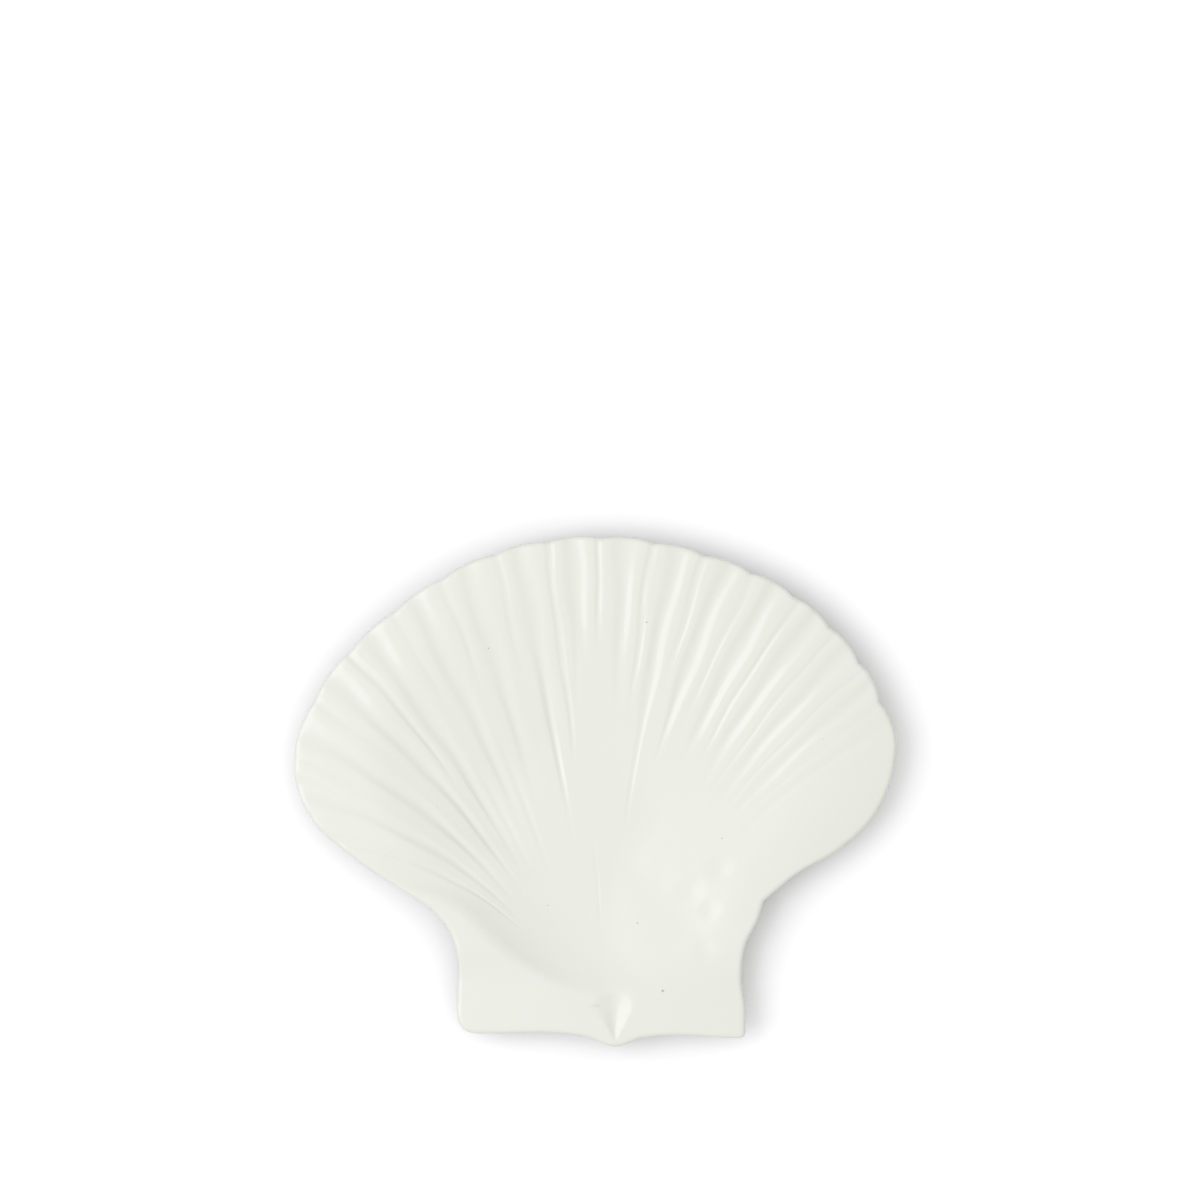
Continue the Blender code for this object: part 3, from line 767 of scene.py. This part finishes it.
def glazed_ceramic():
    """White dipped glaze: thicker in some places than in others, slightly wavy, with a few pinholes."""
    material = bpy.data.materials.new("glazed_ceramic")
    material.use_nodes = True
    tree = material.node_tree
    shader = tree.nodes["Principled BSDF"]
    shader.inputs["IOR"].default_value = GLAZE_IOR
    place = node(tree, "ShaderNodeTexCoord")
    pool = node(tree, "ShaderNodeTexNoise", [("Vector", place.outputs["Object"])],
                Scale=1000 / POOL_MM, Detail=2.0)
    tint = node(tree, "ShaderNodeMix", [("Factor", pool.outputs["Fac"])], data_type="RGBA")
    tint.inputs["A"].default_value = linear(GLAZE)
    tint.inputs["B"].default_value = linear(THIN_GLAZE)
    colour = node(tree, "ShaderNodeMix", [("Factor", pinholes(tree, place)), ("A", tint.outputs["Result"])],
                  data_type="RGBA")
    colour.inputs["B"].default_value = linear(PINHOLE)
    tree.links.new(colour.outputs["Result"], shader.inputs["Base Color"])
    sheen = node(tree, "ShaderNodeMapRange", [("Value", pool.outputs["Fac"])])
    sheen.inputs["To Min"].default_value = GLAZE_ROUGHNESS[0]
    sheen.inputs["To Max"].default_value = GLAZE_ROUGHNESS[1]
    tree.links.new(sheen.outputs[0], shader.inputs["Roughness"])
    wave = node(tree, "ShaderNodeTexNoise", [("Vector", place.outputs["Object"])],
                Scale=1000 / WAVE_MM, Detail=1.0)
    bump = node(tree, "ShaderNodeBump", [("Height", wave.outputs["Fac"])], Strength=1.0,
                Distance=WAVE_HEIGHT_MM / 1000)
    tree.links.new(bump.outputs["Normal"], shader.inputs["Normal"])
    return material


glaze = glazed_ceramic()
platter.data.materials.append(glaze)
foot.data.materials.append(glaze)
print(f"glaze: {len(PINHOLES)} pinholes, waves {WAVE_MM:.0f} mm wide")

# %% [markdown]
# ## Bare clay
# The foot's band is fired stoneware without glaze. It is matt, a little warmer than the glaze, and
# gritty: grains of sand in the clay are about half a millimetre wide. The faces of the band get their
# own material, because glaze and clay meet at a sharp line where the glaze was wiped off.

# %% The foot's bare band
CLAY = "#E4DCCB"
DARK_CLAY = "#D3C8B3"
CLAY_ROUGHNESS = 0.85
GRAIN_MM = 0.5
GRAIN_HEIGHT_MM = 0.04


def bare_clay():
    """Unglazed fired clay: matt, speckled with grains and slightly rough to the touch."""
    material = bpy.data.materials.new("bare_fired_clay")
    material.use_nodes = True
    tree = material.node_tree
    shader = tree.nodes["Principled BSDF"]
    shader.inputs["Roughness"].default_value = CLAY_ROUGHNESS
    place = node(tree, "ShaderNodeTexCoord")
    grain = node(tree, "ShaderNodeTexNoise", [("Vector", place.outputs["Object"])],
                 Scale=1000 / GRAIN_MM, Detail=3.0)
    tint = node(tree, "ShaderNodeMix", [("Factor", grain.outputs["Fac"])], data_type="RGBA")
    tint.inputs["A"].default_value = linear(CLAY)
    tint.inputs["B"].default_value = linear(DARK_CLAY)
    tree.links.new(tint.outputs["Result"], shader.inputs["Base Color"])
    bump = node(tree, "ShaderNodeBump", [("Height", grain.outputs["Fac"])], Strength=1.0,
                Distance=GRAIN_HEIGHT_MM / 1000)
    tree.links.new(bump.outputs["Normal"], shader.inputs["Normal"])
    return material


foot.data.materials.append(bare_clay())
wiped = [face for face in foot.data.polygons if face.center.z < FOOT_ROUND]
for face in wiped:
    face.material_index = 1
print(f"bare clay: {len(wiped)} faces")

# %% [markdown]
# ## The table
# A white sheet lies under the platter and keeps its soft shadow. To the camera and in reflections its
# colour is a little over 1, so that it comes out plain white where no shadow falls. For the light that
# it throws back, its colour is much darker, so that it doesn't light the platter's walls from below.

# %% The floor
FLOOR_SIZE = 6.0
SHEET_SEEN = 1.18
SHEET_BOUNCE = 0.3


def white_sheet():
    """A diffuse white that reads as plain white to the camera where no shadow falls."""
    material = bpy.data.materials.new("white_sheet")
    material.use_nodes = True
    tree = material.node_tree
    tree.nodes.clear()
    rays = node(tree, "ShaderNodeLightPath")
    seen = node(tree, "ShaderNodeMath", operation="MAXIMUM",
                links=[(0, rays.outputs["Is Camera Ray"]), (1, rays.outputs["Is Glossy Ray"])])
    seen = node(tree, "ShaderNodeMath", operation="MAXIMUM",
                links=[(0, seen.outputs[0]), (1, rays.outputs["Is Transmission Ray"])])
    tone = node(tree, "ShaderNodeMapRange", [("Value", seen.outputs[0])])
    tone.inputs["To Min"].default_value = SHEET_BOUNCE
    tone.inputs["To Max"].default_value = SHEET_SEEN
    paper = node(tree, "ShaderNodeBsdfDiffuse", [("Color", tone.outputs[0])])
    node(tree, "ShaderNodeOutputMaterial", [("Surface", paper.outputs[0])])
    return material


bm = bmesh.new()
bmesh.ops.create_grid(bm, x_segments=1, y_segments=1, size=FLOOR_SIZE / 2)
floor_mesh = bpy.data.meshes.new("floor")
bm.to_mesh(floor_mesh)
bm.free()
floor = bpy.data.objects.new("floor", floor_mesh)
bpy.context.scene.collection.objects.link(floor)
floor.data.materials.append(white_sheet())
print(f"floor: {FLOOR_SIZE:.0f} m wide")

# %% [markdown]
# ## Light
# A large soft lamp stands high on the left, and the white surroundings fill the shadows. The lamp is a
# trace cooler than the surroundings, so the lit slopes are a cooler white than the shaded ones. Its
# power is worked out from its distance and tilt, so that white paper on the table would reach the named
# level from the lamp alone.

# %% Light
LAMP_TILT = 42
LAMP_BEARING = 176
LAMP_DISTANCE = 2.6
LAMP_SIZE = 2.0
LAMP_LEVEL = 0.225
LAMP_COLOUR = (1.0, 0.985, 1.035)
WORLD_LEVEL = 0.775


def soft_lamp():
    """A large square lamp, aimed at the platter, that lights the table to the named level."""
    lamp = bpy.data.lights.new("soft_lamp", "AREA")
    lamp.shape = "SQUARE"
    lamp.size = LAMP_SIZE
    tilt = math.radians(LAMP_TILT)
    bearing = math.radians(LAMP_BEARING)
    way = Vector((math.sin(tilt) * math.cos(bearing), math.sin(tilt) * math.sin(bearing), math.cos(tilt)))
    lamp.energy = LAMP_LEVEL * math.pi ** 2 * LAMP_DISTANCE ** 2 / math.cos(tilt)
    lamp.color = LAMP_COLOUR
    item = bpy.data.objects.new("soft_lamp", lamp)
    item.location = way * LAMP_DISTANCE
    item.rotation_euler = (-way).to_track_quat("-Z", "Y").to_euler()
    bpy.context.scene.collection.objects.link(item)
    print(f"lamp: {lamp.energy:.1f} W, {LAMP_DISTANCE:.1f} m away")


def white_room():
    """White surroundings: plain white to the camera, and a soft fill for the light."""
    world = bpy.data.worlds.new("white_room")
    world.use_nodes = True
    tree = world.node_tree
    tree.nodes.clear()
    rays = node(tree, "ShaderNodeLightPath")
    strength = node(tree, "ShaderNodeMapRange", [("Value", rays.outputs["Is Camera Ray"])])
    strength.inputs["To Min"].default_value = WORLD_LEVEL
    strength.inputs["To Max"].default_value = 1.0
    sky = node(tree, "ShaderNodeBackground", [("Strength", strength.outputs[0])], Color=(1.0,) * 4)
    node(tree, "ShaderNodeOutputWorld", [("Surface", sky.outputs[0])])
    bpy.context.scene.world = world


soft_lamp()
white_room()

# %% [markdown]
# ## The camera
# The camera looks straight down from 1.7 m, and its frame is as wide as the named view at the height of
# the rim. The platter lies low in the frame.

# %% Camera
VIEW_WIDTH = 0.595
VIEW_CENTRE = (0.00215, 0.095)
LENS_MM = 100.0
SENSOR_MM = 36.0

camera = bpy.data.cameras.new("camera")
camera.lens = LENS_MM
camera.sensor_width = SENSOR_MM
camera_item = bpy.data.objects.new("camera", camera)
camera_item.location = (*VIEW_CENTRE, HEIGHT + VIEW_WIDTH * LENS_MM / SENSOR_MM)
bpy.context.scene.collection.objects.link(camera_item)
bpy.context.scene.camera = camera_item
bpy.context.scene.view_settings.view_transform = "Standard"
print(f"camera: {camera_item.location.z:.2f} m above the table")

# %% Print the solid model's box
print("cad box", [round(v * 1000, 1) for v in (*cad_low, *cad_high)])
